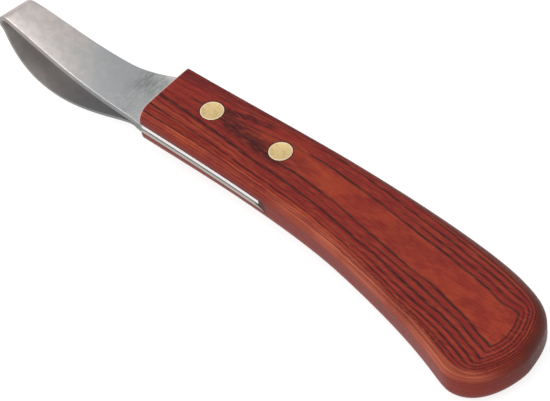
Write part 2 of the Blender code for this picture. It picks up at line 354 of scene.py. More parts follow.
def place_in_mm(tree):
    """Where the surface lies in the knife's frame, or from a rivet's own axis, in millimetres."""
    return add_node(tree, "ShaderNodeAttribute", {"attribute_name": "place"}).outputs["Vector"]


def grains(tree, place, size, detail=2.0, roughness=0.5):
    """Noise from 0 to 1 whose grains have the given size along each axis, in millimetres."""
    scale = tuple(1 / length for length in size)
    stretched = add_node(
        tree, "ShaderNodeVectorMath", {"operation": "MULTIPLY"}, {0: place, 1: scale}
    ).outputs[0]
    inputs = {"Vector": stretched, "Scale": 1.0, "Detail": detail, "Roughness": roughness}
    return add_node(tree, "ShaderNodeTexNoise", None, inputs).outputs["Fac"]


def ramp(tree, share, stops):
    """A colour read from stops of (position, colour)."""
    made = add_node(tree, "ShaderNodeValToRGB", None, {"Fac": share})
    elements = made.color_ramp.elements
    while len(elements) < len(stops):
        elements.new(0.5)
    for element, (position, colour) in zip(elements, stops):
        element.position = position
        element.color = (*colour, 1.0)
    return made.outputs["Color"]


def bumped(tree, height, depth, normal=None):
    """A normal for a surface whose height goes up and down by the depth, in metres."""
    inputs = {"Height": height, "Distance": depth}
    if normal:
        inputs["Normal"] = normal
    return add_node(tree, "ShaderNodeBump", None, inputs).outputs["Normal"]


def new_surface(name):
    """A material with its tree and its shader."""
    made = bpy.data.materials.new(name)
    made.use_nodes = True
    return made, made.node_tree, made.node_tree.nodes["Principled BSDF"]


def set_inputs(tree, target, inputs):
    """Sets a node's inputs by name or number, each to a value or from a socket."""
    for name, value in inputs.items():
        if isinstance(value, bpy.types.NodeSocket):
            tree.links.new(value, target.inputs[name])
        else:
            target.inputs[name].default_value = value


# ---------------------------------------------------------------- materials

# Most pairs below run from where a mark is absent to where it is full. Shares, losses and
# roughnesses in pairs are the values at a run's two ends. Places are in millimetres, levels in
# veneers, and noise between 0 and 1. A GRAIN is a texture's size along x, y and z.

WOOD_TINTS = [
    (0.0, (0.22, 0.022, 0.019)),
    (0.35, (0.26, 0.028, 0.021)),
    (0.7, (0.30, 0.039, 0.021)),
    (1.0, (0.35, 0.053, 0.022)),
]
TOP_VENEER = (0.295, 0.039, 0.022, 1.0)
PALE_STREAK = (0.42, 0.090, 0.036, 1.0)
DEEP_STREAK = (0.10, 0.010, 0.010, 1.0)
CRIMSON = (0.18, 0.016, 0.018, 1.0)
LINE_HALO = (0.10, 0.012, 0.018, 1.0)
GLUE_DARK = (0.035, 0.012, 0.012, 1.0)
SMEAR = (0.045, 0.010, 0.013, 1.0)
# painted shade, browner, low on the sides and underneath
LOW_SIDE_SHADE = (0.17, 0.020, 0.016, 1.0)
# painted highlight along the rounded near edge
NEAR_EDGE_HIGHLIGHT = (0.47, 0.13, 0.075, 1.0)
# painted shade on the faces turned to the far side
FAR_SHADE_COLOUR = (0.045, 0.010, 0.010, 1.0)
# paler along the eased front edge
PALE_FRONT_EDGE = (0.80, 0.58, 0.54, 1.0)
WAX_TINT = (1.0, 0.55, 0.38, 1.0)
WAX = {"IOR": 1.38, "Specular IOR Level": 0.2, "Specular Tint": WAX_TINT}
WOOD_ROUGHNESS = (0.34, 0.48)

# Veneers: two waves in their height, and streaks that keep to one depth in the stack
WAVE_GRAIN = (30.0, 12.0, 40.0)
RIPPLE_GRAIN = (7.0, 2.6, 9.0)
TOP_VENEER_LEVEL = (0.15, -0.25)
STREAK_GRAIN = (60.0, 40.0, 2.2)
STACK_STRETCH = 10.0  # the stack's depth is stretched by this much before its streaks are drawn
PALE_STREAK_NOISE = (0.49, 0.6)
DEEP_STREAK_NOISE = (0.48, 0.38)
STREAK_SHARES = (0.22, 0.75)  # on the wide faces, and where the shaping cuts many veneers
ROUNDED_HEIGHT = (6.9, 6.3)
NEAR_DEEP_LEVEL = (-1.9, -3.2)
NEAR_DEEP_Y = (0.0, -6.0)
NEAR_DEEP_FADE = (60.0, 110.0)
NEAR_DEEP_SHARES = (1.0, 0.3)
CLOUD_GRAIN = (9.0, 4.5, 10.0)
CLOUD_NOISE = (0.43, 0.63)
CLOUD_SHARE = 0.62

# Glue lines
ODD_LINE_RUN = (72.0, 112.0)
ODD_LINE_LOSS = (0.7, 0.1)  # how much fainter every other line is, in front and behind
FRONT_X_RANGE = (62.0, 48.0)
FAR_Y_RANGE = (0.5, 3.0)
FAR_FRONT_STRENGTH = 0.4
# Painted shade: a darker purplish band along the far edge near the front
FAR_RIM_LEVEL = (-2.0, -2.5)
FAR_RIM_SHADE_SHARE = 0.7
HALO_REACH = (0.45, 0.0)
LINE_REACH = (0.25, 0.05)
BLOT_GRAIN = (9.0, 3.0, 5.0)
BLOT_NOISE = (0.3, 0.6)
LEAST_INK = 0.6

# Smears of glue: at the top veneer's end, on the third line down, and slanting from the front rivet
SMUDGE_GRAIN = (4.0, 1.0, 3.0)
SMUDGE_NOISE = (0.34, 0.52)
LEAST_SMUDGE = 0.3
SMEAR_SHARE = 0.9
SMEAR_START = (19.0, 22.0)
SMEAR_END = (60.0, 42.0)
SMEAR_REACH = (1.15, 0.45)
SMEAR_Y = (2.0, 0.5)
THIRD_LINE = 2.0
THIRD_LINE_REACH = (0.42, 0.05)
THIRD_LINE_Y = (1.0, -1.0)
SLANT_SLOPE = 0.18  # y against x
SLANT_Y = -1.0  # where it would cross x = 0
SLANT_END = (40.0, 34.0)
SLANT_REACH = (1.4, 0.7)
SLANT_GRAIN = (5.0, 5.0, 5.0)
SLANT_STRAY = 2.0

# Fibres and pores
FIBRE_GRAIN = (4.0, 0.25, 0.25)
PALE_FIBRE_NOISE = (0.5, 0.7)
PALE_FIBRE_SHARE = 0.32
DEEP_FIBRE_NOISE = (0.48, 0.3)
DEEP_FIBRE_SHARE = 0.35
PORE_GRAIN = (1.4, 0.16, 0.16)
PORE_NOISE = (0.64, 0.74)
PORE_SHARE = 0.5
FIBRE_DEPTH = 0.02 * MM
STREAK_DEPTH = 0.08 * MM
FULL_NOISE = (0.3, 0.7)

# Sides and edges
# Painted shade: browner and darker from z = 6 mm down to 3 mm, and everywhere below
LOW_SHADE_HEIGHT = (6.0, 3.0)
LOW_SHADE_SHARE = 0.75
# Painted highlight: a pale streaky band on the rounded near edge, behind the front
NEAR_HIGHLIGHT_TOP = (6.6, 5.3)
NEAR_HIGHLIGHT_BOTTOM = (1.8, 4.8)
NEAR_HIGHLIGHT_START = (48.0, 66.0)
NEAR_HIGHLIGHT_FACING = (-0.25, -0.6)
NEAR_HIGHLIGHT_STREAK_NOISE = (0.38, 0.62)
NEAR_HIGHLIGHT_STREAK_SHARES = (0.2, 0.9)
NEAR_HIGHLIGHT_PATCH_GRAIN = (18.0, 18.0, 18.0)
NEAR_HIGHLIGHT_PATCH_NOISE = (0.38, 0.58)
LEAST_NEAR_HIGHLIGHT = 0.45
FAR_SHADE_WAY = (0.6, 0.8)  # the horizontal way that the side with the most painted shade faces
FAR_SHADE_FACING = (0.05, 0.75)
FAR_SHADE_SHARE = 0.78
# The eased front edge is paler
PALE_EDGE_X = (FRONT_X / MM + 0.5, FRONT_X / MM + 0.12)
PALE_EDGE_SHARE = 0.85
PALE_EDGE_FACING = (-0.97, -0.85)

# Grime in the joints
RIVET_JOINT = (HEAD_RADIUS / MM + 0.55, HEAD_RADIUS / MM + 0.1)
SLOT_JOINT = (2.35, 1.85)
SLOT_END = (52.0, 50.0)
GRIME_SHARE = 0.75


def product(tree, first, *others):
    """All the shares multiplied together."""
    for other in others:
        first = sums(tree, "MULTIPLY", first, other)
    return first


def signed(tree, noise):
    """Noise from -0.5 to 0.5."""
    return sums(tree, "SUBTRACT", noise, 0.5)


def axes_of(tree, vector):
    """The outputs that hold a vector's "X", "Y" and "Z"."""
    return add_node(tree, "ShaderNodeSeparateXYZ", None, {"Vector": vector}).outputs


def flat_distance(tree, place, x=0.0):
    """How far a place lies from the vertical line at x, in millimetres."""
    inputs = {0: place, 1: (1.0, 1.0, 0.0), 2: (-x, 0.0, 0.0)}
    flat = add_node(tree, "ShaderNodeVectorMath", {"operation": "MULTIPLY_ADD"}, inputs)
    length = add_node(tree, "ShaderNodeVectorMath", {"operation": "LENGTH"}, {0: flat.outputs[0]})
    return length.outputs["Value"]


def near_rivets(tree, place, reach):
    """1 close to either rivet's axis and 0 away from it, over the reach."""
    shares = [ranged(tree, flat_distance(tree, place, x / MM), *reach) for x in RIVET_X]
    return sums(tree, "MAXIMUM", *shares)


def stack_height(tree, place):
    """How high a point lies in the stack of veneers, which stray a little from flat."""
    height = add_node(tree, "ShaderNodeAttribute", {"attribute_name": "veneer"}).outputs["Fac"]
    for size, amount in ((WAVE_GRAIN, WAVE), (RIPPLE_GRAIN, RIPPLE)):
        stray = product(tree, signed(tree, grains(tree, place, size, detail=1.0)), amount)
        height = sums(tree, "ADD", height, stray)
    return height


def stack_streaks(tree, axes, height):
    """Noise that keeps to one depth in the stack, so that its streaks follow the glue lines."""
    depth = product(tree, height, STACK_STRETCH)
    inputs = {"X": axes["X"], "Y": axes["Y"], "Z": depth}
    in_stack = add_node(tree, "ShaderNodeCombineXYZ", None, inputs).outputs["Vector"]
    return grains(tree, in_stack, STREAK_GRAIN, detail=3.0, roughness=0.65)


def veneer_tints(tree, place, axes, level, streak):
    """Each veneer's own red, most streaked where the shaping cuts across many veneers."""
    layer = sums(tree, "FLOOR", level)
    tint = add_node(tree, "ShaderNodeTexWhiteNoise", {"noise_dimensions": "1D"}, {"W": layer})
    colour = ramp(tree, tint.outputs["Value"], WOOD_TINTS)
    colour = mixed(tree, ranged(tree, level, *TOP_VENEER_LEVEL), TOP_VENEER, colour)
    rounded = ranged(tree, sums(tree, "ABSOLUTE", axes["Z"]), *ROUNDED_HEIGHT)
    near_deep = product(
        tree,
        ranged(tree, level, *NEAR_DEEP_LEVEL),
        ranged(tree, axes["Y"], *NEAR_DEEP_Y),
        ranged(tree, axes["X"], *NEAR_DEEP_FADE, *NEAR_DEEP_SHARES),
    )
    cut_across = sums(tree, "MAXIMUM", rounded, near_deep)
    share = ranged(tree, cut_across, 0.0, 1.0, *STREAK_SHARES)
    for noise, streak_colour in ((PALE_STREAK_NOISE, PALE_STREAK), (DEEP_STREAK_NOISE, DEEP_STREAK)):
        colour = mixed(tree, product(tree, ranged(tree, streak, *noise), share), colour, streak_colour)
    cloud = grains(tree, place, CLOUD_GRAIN, detail=4.0, roughness=0.62)
    return mixed(tree, ranged(tree, cloud, *CLOUD_NOISE, 0.0, CLOUD_SHARE), colour, CRIMSON)


def glue_lines(tree, place, axes, level, colour):
    """The glue between veneers: every second line is dark, beside a broad purplish band; painted shade
    at the far front edge.
    """
    nearest = sums(tree, "FLOOR", sums(tree, "ADD", level, 0.5))
    to_line = sums(tree, "ABSOLUTE", sums(tree, "SUBTRACT", level, nearest))
    odd = sums(tree, "MODULO", sums(tree, "ABSOLUTE", nearest), 2.0)
    loss = product(tree, odd, ranged(tree, axes["X"], *ODD_LINE_RUN, *ODD_LINE_LOSS))
    far_front = product(
        tree,
        ranged(tree, axes["X"], *FRONT_X_RANGE),
        ranged(tree, axes["Y"], *FAR_Y_RANGE),
    )
    kept = ranged(tree, far_front, 0.0, 1.0, 1.0, FAR_FRONT_STRENGTH)
    strength = product(tree, sums(tree, "SUBTRACT", 1.0, loss), kept)
    blot = grains(tree, place, BLOT_GRAIN, detail=2.0)
    halo = product(tree, ranged(tree, to_line, *HALO_REACH), blot, strength)
    # painted shade: a darker purplish band along the far edge near the front
    far_rim_shade = product(tree, ranged(tree, level, *FAR_RIM_LEVEL), far_front, FAR_RIM_SHADE_SHARE)
    colour = mixed(tree, sums(tree, "MAXIMUM", halo, far_rim_shade), colour, LINE_HALO)
    inked = ranged(tree, blot, *BLOT_NOISE, LEAST_INK, 1.0)
    line = product(tree, ranged(tree, to_line, *LINE_REACH), strength, inked)
    return mixed(tree, line, colour, GLUE_DARK)


def glue_smears(tree, place, axes, level, colour):
    """Broad smears between the rivets, where the top veneer runs out, and on the third line down."""
    top_end = product(
        tree,
        ranged(tree, sums(tree, "ABSOLUTE", level), *SMEAR_REACH),
        ranged(tree, axes["X"], *SMEAR_START),
        ranged(tree, axes["X"], *SMEAR_END),
        ranged(tree, axes["Y"], *SMEAR_Y),
    )
    from_third = sums(tree, "ABSOLUTE", sums(tree, "ADD", level, THIRD_LINE))
    third = product(
        tree,
        ranged(tree, from_third, *THIRD_LINE_REACH),
        ranged(tree, axes["X"], *FRONT_X_RANGE),
        ranged(tree, axes["Y"], *THIRD_LINE_Y),
    )
    stray = product(tree, signed(tree, grains(tree, place, SLANT_GRAIN)), SLANT_STRAY)
    from_slant = sums(tree, "SUBTRACT", axes["Y"], product(tree, axes["X"], SLANT_SLOPE))
    from_slant = sums(tree, "ADD", sums(tree, "SUBTRACT", from_slant, SLANT_Y), stray)
    slant = product(
        tree,
        ranged(tree, sums(tree, "ABSOLUTE", from_slant), *SLANT_REACH),
        ranged(tree, axes["X"], *SMEAR_START),
        ranged(tree, axes["X"], *SLANT_END),
    )
    smear = sums(tree, "MAXIMUM", sums(tree, "MAXIMUM", top_end, third), slant)
    smudge = grains(tree, place, SMUDGE_GRAIN, detail=3.0)
    smudge = ranged(tree, smudge, *SMUDGE_NOISE, LEAST_SMUDGE, 1.0)
    return mixed(tree, product(tree, smear, smudge, SMEAR_SHARE), colour, SMEAR)


def wood_grain(tree, colour, fibre, pores):
    """Pale and dark fibres, and pores as short dark dashes along them."""
    colour = mixed(tree, product(tree, pores, PORE_SHARE), colour, GLUE_DARK)
    pale = ranged(tree, fibre, *PALE_FIBRE_NOISE, 0.0, PALE_FIBRE_SHARE)
    colour = mixed(tree, pale, colour, PALE_STREAK)
    deep = ranged(tree, fibre, *DEEP_FIBRE_NOISE, 0.0, DEEP_FIBRE_SHARE)
    return mixed(tree, deep, colour, DEEP_STREAK)


def sides_and_edges(tree, place, axes, streak, colour):
    """Painted shade, browner low down and dark on the far side, a painted highlight on the near edge, a
    pale front.
    """
    # painted shade, browner, low on the sides and underneath
    low = ranged(tree, axes["Z"], *LOW_SHADE_HEIGHT, 0.0, LOW_SHADE_SHARE)
    colour = mixed(tree, low, colour, LOW_SIDE_SHADE)
    facing = axes_of(tree, add_node(tree, "ShaderNodeNewGeometry").outputs["Normal"])
    # painted highlight on the rounded near edge, in streaks and patches
    patches = grains(tree, place, NEAR_HIGHLIGHT_PATCH_GRAIN)
    painted_highlight = product(
        tree,
        ranged(tree, axes["Z"], *NEAR_HIGHLIGHT_TOP),
        ranged(tree, axes["Z"], *NEAR_HIGHLIGHT_BOTTOM),
        ranged(tree, axes["X"], *NEAR_HIGHLIGHT_START),
        ranged(tree, facing["Y"], *NEAR_HIGHLIGHT_FACING),
        ranged(tree, streak, *NEAR_HIGHLIGHT_STREAK_NOISE, *NEAR_HIGHLIGHT_STREAK_SHARES),
        ranged(tree, patches, *NEAR_HIGHLIGHT_PATCH_NOISE, LEAST_NEAR_HIGHLIGHT, 1.0),
    )
    colour = mixed(tree, painted_highlight, colour, NEAR_EDGE_HIGHLIGHT)
    # painted shade on the faces turned to the far side
    away = [product(tree, facing[axis], way) for axis, way in zip("XY", FAR_SHADE_WAY)]
    far_side = ranged(tree, sums(tree, "ADD", *away), *FAR_SHADE_FACING, 0.0, FAR_SHADE_SHARE)
    colour = mixed(tree, far_side, colour, FAR_SHADE_COLOUR)
    # paler along the eased front edge
    pale_mark = product(
        tree,
        ranged(tree, axes["X"], *PALE_EDGE_X, 0.0, PALE_EDGE_SHARE),
        ranged(tree, facing["X"], *PALE_EDGE_FACING),
    )
    return mixed(tree, pale_mark, colour, PALE_FRONT_EDGE)


def joint_grime(tree, place, axes, colour):
    """Grime in the joints with the brass and the steel."""
    beside_slot = product(
        tree,
        ranged(tree, sums(tree, "ABSOLUTE", axes["Z"]), *SLOT_JOINT),
        ranged(tree, axes["X"], *SLOT_END),
    )
    joint = sums(tree, "MAXIMUM", near_rivets(tree, place, RIVET_JOINT), beside_slot)
    return mixed(tree, product(tree, joint, GRIME_SHARE), colour, GLUE_DARK)


def wood_surface():
    """Dyed veneers pressed into a block: dark glue lines where the shaping cuts through them."""
    made, tree, shader = new_surface("laminated_wood")
    place = place_in_mm(tree)
    axes = axes_of(tree, place)
    height = stack_height(tree, place)
    level = sums(tree, "DIVIDE", height, VENEER)
    streak = stack_streaks(tree, axes, height)
    fibre = grains(tree, place, FIBRE_GRAIN, detail=3.0)
    pores = ranged(tree, grains(tree, place, PORE_GRAIN, detail=1.0), *PORE_NOISE)
    colour = veneer_tints(tree, place, axes, level, streak)
    colour = glue_lines(tree, place, axes, level, colour)
    colour = glue_smears(tree, place, axes, level, colour)
    colour = wood_grain(tree, colour, fibre, pores)
    colour = sides_and_edges(tree, place, axes, streak, colour)
    colour = joint_grime(tree, place, axes, colour)
    normal = bumped(tree, fibre, FIBRE_DEPTH)
    normal = bumped(tree, streak, STREAK_DEPTH, normal)
    normal = bumped(tree, sums(tree, "SUBTRACT", 1.0, pores), FIBRE_DEPTH, normal)
    rough = ranged(tree, fibre, *FULL_NOISE, *WOOD_ROUGHNESS)
    set_inputs(tree, shader, {"Base Color": colour, "Roughness": rough, "Normal": normal, **WAX})
    return made


# Tints of the outer face, partly painted shading: lighter and pinker at the fold, darker and bluer
# behind it
STEEL_TINTS_AND_SHADE = [
    (0.0, (0.69, 0.615, 0.59)),
    (0.4, (0.54, 0.525, 0.52)),
    (0.75, (0.43, 0.445, 0.46)),
    (1.0, (0.54, 0.55, 0.545)),
]
STEEL_GREY = (0.40, 0.40, 0.39, 1.0)
STEEL_PALE = (0.80, 0.76, 0.75, 1.0)
STEEL_WARM = (0.42, 0.37, 0.34, 1.0)
# painted shade, where the steel is also dull
DULL_STEEL_SHADE = (0.125, 0.118, 0.116, 1.0)
TARNISH = (0.19, 0.20, 0.195, 1.0)
STEEL_ROUGHNESS = (0.36, 0.46)
DULL_ROUGHNESS = 0.3  # what the dull parts add to it
TINT_AND_SHADE_RUN = (-56.0, 4.0)  # the tints, partly painted shading, follow one another from the fold to the handle
TINT_AND_SHADE_DRIFT = 40.0  # and stray by up to half of this
STEEL_CLOUD_GRAIN = (10.0, 6.0, 6.0)
MOTTLE_GRAIN = (3.0, 2.2, 3.0)
MOTTLE_NOISE = (0.42, 0.62)
MOTTLE_SHARE = 0.3
SPECK_GRAIN = (0.5, 0.35, 0.4)
SPECK_NOISE = (0.5, 0.7)
SPECK_SHARE = 0.25
SPECK_DEPTH = 0.014 * MM
TARNISH_GRAIN = (0.9, 3.4, 3.0)
TARNISH_NOISE = (0.4, 0.6)
TARNISH_START = (-15.0, -10.0)
TARNISH_END = (-1.5, -5.5)
TARNISH_Y = (-7.0, 0.0)
LEAST_TARNISH = 0.3
TARNISH_SHARE = 0.6
BARE_PATCH_X = (-8.0, -4.5)
BARE_PATCH_Y = (3.5, 6.5)
BARE_PATCH_SHARE = 0.9
TANG_X = (0.5, 2.0)
UPPER_LEAF_Z = (-0.3, 0.0)
# The "ground" mark runs from 0 on the strip's inner face to 1 on its outer one
# Painted shade on the loop's inner face and edges, and in the seam between the tang's leaves
DULL_MARK = (1.0, 0.8)
DULL_SHADE_SHARE = 0.62
SEAM_MARK = (0.3, 0.0)
SEAM_SHADE_SHARE = 0.9


def outer_steel(tree, place, axes, cloud):
    """The bright outer face, its tints partly painted shading: warm at the fold, bluer behind it,
    tarnished ahead of the wood.
    """
    # tints along the strip, partly painted shading
    drift = product(tree, signed(tree, cloud), TINT_AND_SHADE_DRIFT)
    along = ranged(tree, sums(tree, "ADD", axes["X"], drift), *TINT_AND_SHADE_RUN)
    colour = ramp(tree, along, STEEL_TINTS_AND_SHADE)
    mottle = grains(tree, place, MOTTLE_GRAIN, detail=3.0, roughness=0.6)
    colour = mixed(tree, ranged(tree, mottle, *MOTTLE_NOISE, 0.0, MOTTLE_SHARE), colour, STEEL_GREY)
    stain = grains(tree, place, TARNISH_GRAIN, detail=5.0, roughness=0.75)
    tarnish = product(
        tree,
        ranged(tree, axes["X"], *TARNISH_START),
        ranged(tree, axes["X"], *TARNISH_END),
        ranged(tree, axes["Y"], *TARNISH_Y, LEAST_TARNISH, 1.0),
        ranged(tree, stain, *TARNISH_NOISE),
        TARNISH_SHARE,
    )
    colour = mixed(tree, tarnish, colour, TARNISH)
    pale_mark = product(
        tree,
        ranged(tree, axes["X"], *BARE_PATCH_X),
        ranged(tree, axes["Y"], *BARE_PATCH_Y),
        BARE_PATCH_SHARE,
    )
    return mixed(tree, pale_mark, colour, STEEL_PALE)


def dull_and_shaded_steel(tree, tang):
    """Where the steel is dull and darkened by painted shade: inside the loop, down its edges, and in
    the seam of the tang.
    """
    ground = add_node(tree, "ShaderNodeAttribute", {"attribute_name": "ground"}).outputs["Fac"]
    in_loop = sums(tree, "SUBTRACT", 1.0, tang)
    inside = product(tree, ranged(tree, ground, *DULL_MARK, 0.0, DULL_SHADE_SHARE), in_loop)
    seam = product(tree, ranged(tree, ground, *SEAM_MARK, 0.0, SEAM_SHADE_SHARE), tang)
    return sums(tree, "ADD", inside, seam)


def steel_surface():
    """Bead-blasted strip, clouded and a little stained, dull on its inner face and darkened there by
    painted shade.
    """
    made, tree, shader = new_surface("satin_steel")
    place = place_in_mm(tree)
    axes = axes_of(tree, place)
    cloud = grains(tree, place, STEEL_CLOUD_GRAIN, detail=4.0, roughness=0.6)
    speck = grains(tree, place, SPECK_GRAIN, detail=4.0, roughness=0.7)
    tang = ranged(tree, axes["X"], *TANG_X)
    leaves = mixed(tree, ranged(tree, axes["Z"], *UPPER_LEAF_Z), STEEL_WARM, STEEL_PALE)
    colour = mixed(tree, tang, outer_steel(tree, place, axes, cloud), leaves)
    colour = mixed(tree, ranged(tree, speck, *SPECK_NOISE, 0.0, SPECK_SHARE), colour, STEEL_GREY)
    # dull and rougher, and darkened by painted shade
    dull_and_shaded = dull_and_shaded_steel(tree, tang)
    colour = mixed(tree, dull_and_shaded, colour, DULL_STEEL_SHADE)
    rough = ranged(tree, cloud, *FULL_NOISE, *STEEL_ROUGHNESS)
    rough = sums(tree, "ADD", rough, product(tree, dull_and_shaded, DULL_ROUGHNESS))
    normal = bumped(tree, speck, SPECK_DEPTH)
    inputs = {"Base Color": colour, "Roughness": rough, "Normal": normal, "Metallic": 1.0}
    set_inputs(tree, shader, inputs)
    return made


BRASS_TINTS = [
    (0.0, (0.74, 0.60, 0.27)),
    (0.5, (0.92, 0.64, 0.35)),
    (1.0, (0.82, 0.66, 0.31)),
]
BRASS_RIM = (1.0, 0.80, 0.56, 1.0)
BRASS_PIT = (0.30, 0.22, 0.11, 1.0)
BRASS_ROUGHNESS = (0.38, 0.5)
RIM_RADIUS = (3.1, 3.3)
BRASS_STAIN_GRAIN = (1.8, 1.5, 1.5)
BRASS_STAIN_NOISE = (0.35, 0.65)
PIT_GRAIN = (0.55, 0.45, 0.5)
PIT_NOISE = (0.6, 0.68)
PIT_SHARE = 0.7
PIT_DEPTH = 0.03 * MM
SCRATCH_GRAIN = (3.0, 0.12, 1.0)
SCRATCH_DEPTH = 0.004 * MM


def brass_surface():
    """Brass sanded flush with the wood: a bright worn rim round a dull, finely pitted face."""
    made, tree, shader = new_surface("rivet_brass")
    place = place_in_mm(tree)
    stain = grains(tree, place, BRASS_STAIN_GRAIN, detail=2.0)
    face = ramp(tree, ranged(tree, stain, *BRASS_STAIN_NOISE), BRASS_TINTS)
    rim = ranged(tree, flat_distance(tree, place), *RIM_RADIUS)
    colour = mixed(tree, rim, face, BRASS_RIM)
    pits = ranged(tree, grains(tree, place, PIT_GRAIN, detail=3.0), *PIT_NOISE)
    colour = mixed(tree, product(tree, pits, PIT_SHARE), colour, BRASS_PIT)
    scratch = grains(tree, place, SCRATCH_GRAIN, detail=2.0)
    rough = ranged(tree, scratch, *FULL_NOISE, *BRASS_ROUGHNESS)
    normal = bumped(tree, sums(tree, "SUBTRACT", 1.0, pits), PIT_DEPTH)
    normal = bumped(tree, scratch, SCRATCH_DEPTH, normal)
    inputs = {"Base Color": colour, "Roughness": rough, "Normal": normal, "Metallic": 1.0}
    set_inputs(tree, shader, inputs)
    return made


# ---------------------------------------------------------------- handle


def handle_sides():
    """The outline's far and near sides, each from the front to the butt."""
    outline = smooth_path(HANDLE_OUTLINE, OUTLINE_STEPS)
    butt = BUTT_ANCHOR * OUTLINE_STEPS
    return outline[: butt + 1], outline[butt:][::-1]


def resampled(path, count):
    """The path read at points that crowd together towards its end."""
    lengths = np.concatenate([[0.0], np.cumsum(np.linalg.norm(np.diff(path, axis=0), axis=1))])
    reach = lengths[-1] * (1.0 - (1.0 - np.linspace(0.0, 1.0, count + 1)) ** STATION_CROWDING)
    return np.stack([np.interp(reach, lengths, path[:, axis]) for axis in range(2)], axis=1)


def outline_stations():
    """Points round the outline from its far front corner to its near one, and each inward way."""
    sides = []
    for side in handle_sides():
        points = resampled(side, STATIONS)
        eased = [(FRONT_X + FRONT_BREAK * share, side[0][1]) for share in FRONT_BREAK_SHARES]
        sides.append(np.concatenate([eased, points[1:]]))
    outline = np.concatenate([sides[0], sides[1][-2::-1]])
    along = directions(outline)
    inward = np.stack([along[:, 1], -along[:, 0]], axis=1)
    # the front stays square, so its stations move straight across
    front = len(FRONT_BREAK_SHARES)
    inward[:front, 0] = 0.0
    inward[-front:, 0] = 0.0
    x = outline[:, 0]
    far_side = np.arange(len(outline)) < len(outline) // 2
    return outline, inward, np.where(far_side, edge_radius(x, True), edge_radius(x, False))


def edge_radius(x, far_side):
    """How round the handle's long edge is at x."""
    front, run = (FAR_EDGE_RADIUS, FAR_EDGE_RUN) if far_side else (NEAR_EDGE_RADIUS, NEAR_EDGE_RUN)
    return front + (BUTT_EDGE_RADIUS - front) * smooth_step(x, *run)


def edge_section(radius):
    """(insets from the outline, heights) from the top's rim down the rounded edge to the bottom's."""
    quarter = np.linspace(math.pi / 2, 0.0, ROUND_STEPS + 1)
    upper = [
        (
            radius * (1.0 - math.cos(angle)),
            HALF_THICKNESS - radius + (radius - CROWN) * math.sin(angle),
        )
        for angle in quarter
    ]
    return upper + [(inset, -height) for inset, height in reversed(upper)]


def front_ease(x):
    """How far the sharp front edge is rounded back at x."""
    left = np.clip(FRONT_BREAK - (x - FRONT_X), 0.0, FRONT_BREAK)
    return FRONT_BREAK - np.sqrt(FRONT_BREAK**2 - left**2)


def face_height(points, rim):
    """The height of the crowned wide face at points, which are measured from its rim line."""
    gaps = np.linalg.norm(points[:, None, :] - rim[None, :, :], axis=2).min(axis=1)
    fall = 1.0 - np.clip(gaps / CROWN_WIDTH, 0.0, 1.0)
    return HALF_THICKNESS - CROWN * fall**2


def handle_body():
    """The curved block: rings of points down its rounded edge, and the wide faces inside them."""
    outline, inward, radius = outline_stations()
    count = len(outline)
    section = edge_section(radius)
    ease = front_ease(outline[:, 0])
    vertices, faces = [], []
    for inset, height in section:
        ring = outline + inward * (inset + ease + SANDED)[:, None]
        level = height - np.sign(height) * ease
        vertices += [(x, y, z) for (x, y), z in zip(ring, level)]
    for row in range(len(section) - 1):
        for i in range(count - 1):
            low, high = row * count + i, (row + 1) * count + i
            faces.append((low, low + 1, high + 1, high))
    rim = outline + inward * radius[:, None]
    rows = {1: 0, -1: len(section) - 1}
    chords = {side: face_grid(vertices, faces, rim, ease, row, side) for side, row in rows.items()}
    near_side = [row * count + count - 1 for row in range(1, len(section) - 1)]
    far_side = [row * count for row in range(len(section) - 2, 0, -1)]
    faces.append(chords[1] + near_side + chords[-1][::-1] + far_side)
    return mesh_object("handle_wood", vertices, faces)


def face_grid(vertices, faces, rim, ease, row, side):
    """Fills the wide face on one side with chords between its two rims; returns the front chord."""
    count = len(rim)
    middle = count // 2
    shares = np.linspace(0.0, 1.0, CHORD_STEPS + 1)[1:-1]
    chords = []
    for i in range(middle):
        far, near = vertices[row * count + i], vertices[row * count + count - 1 - i]
        flat = np.array([np.array(far[:2]) * (1 - s) + np.array(near[:2]) * s for s in shares])
        level = side * (face_height(flat, rim) - ease[i])
        start = len(vertices)
        vertices += [(x, y, z) for (x, y), z in zip(flat, level)]
        inner = list(range(start, len(vertices)))
        chords.append([row * count + i, *inner, row * count + count - 1 - i])
    for chord, following in zip(chords, chords[1:]):
        for j in range(CHORD_STEPS):
            faces.append((chord[j], chord[j + 1], following[j + 1], following[j]))
    butt = row * count + middle
    for j in range(CHORD_STEPS):
        faces.append((chords[-1][j], chords[-1][j + 1], butt))
    return chords[0]


def tang_slot():
    """The cutter for the slot: square behind the upper leaf, running to a point behind the lower."""
    over = 4 * BUTT_EDGE_RADIUS
    top = LEAF_LEVEL + STRIP / 2 + GLUE_LINE
    upper_end = UPPER_LEAF_END + GLUE_LINE
    profile = [(-over, -top), (LOWER_LEAF_END + GLUE_LINE, -top), (upper_end, -LEAF_GAP)]
    profile += [(upper_end, top), (-over, top)]
    return prism_across("tang_slot", profile, over)


def rivet_hole(number, x):
    """The cutter for a rivet's hole: a bore for the tube, and a seat for a head at each end."""
    seat = HALF_THICKNESS - HEAD_HEIGHT - GLUE_LINE
    profile = [
        (HEAD_RADIUS + GLUE_LINE, 2 * HALF_THICKNESS),
        (HEAD_RADIUS + GLUE_LINE, seat),
        (TUBE_RADIUS + GLUE_LINE, seat),
    ]
    profile += [(radius, -z) for radius, z in reversed(profile)]
    return turned(f"rivet_hole_{number}", profile, x)


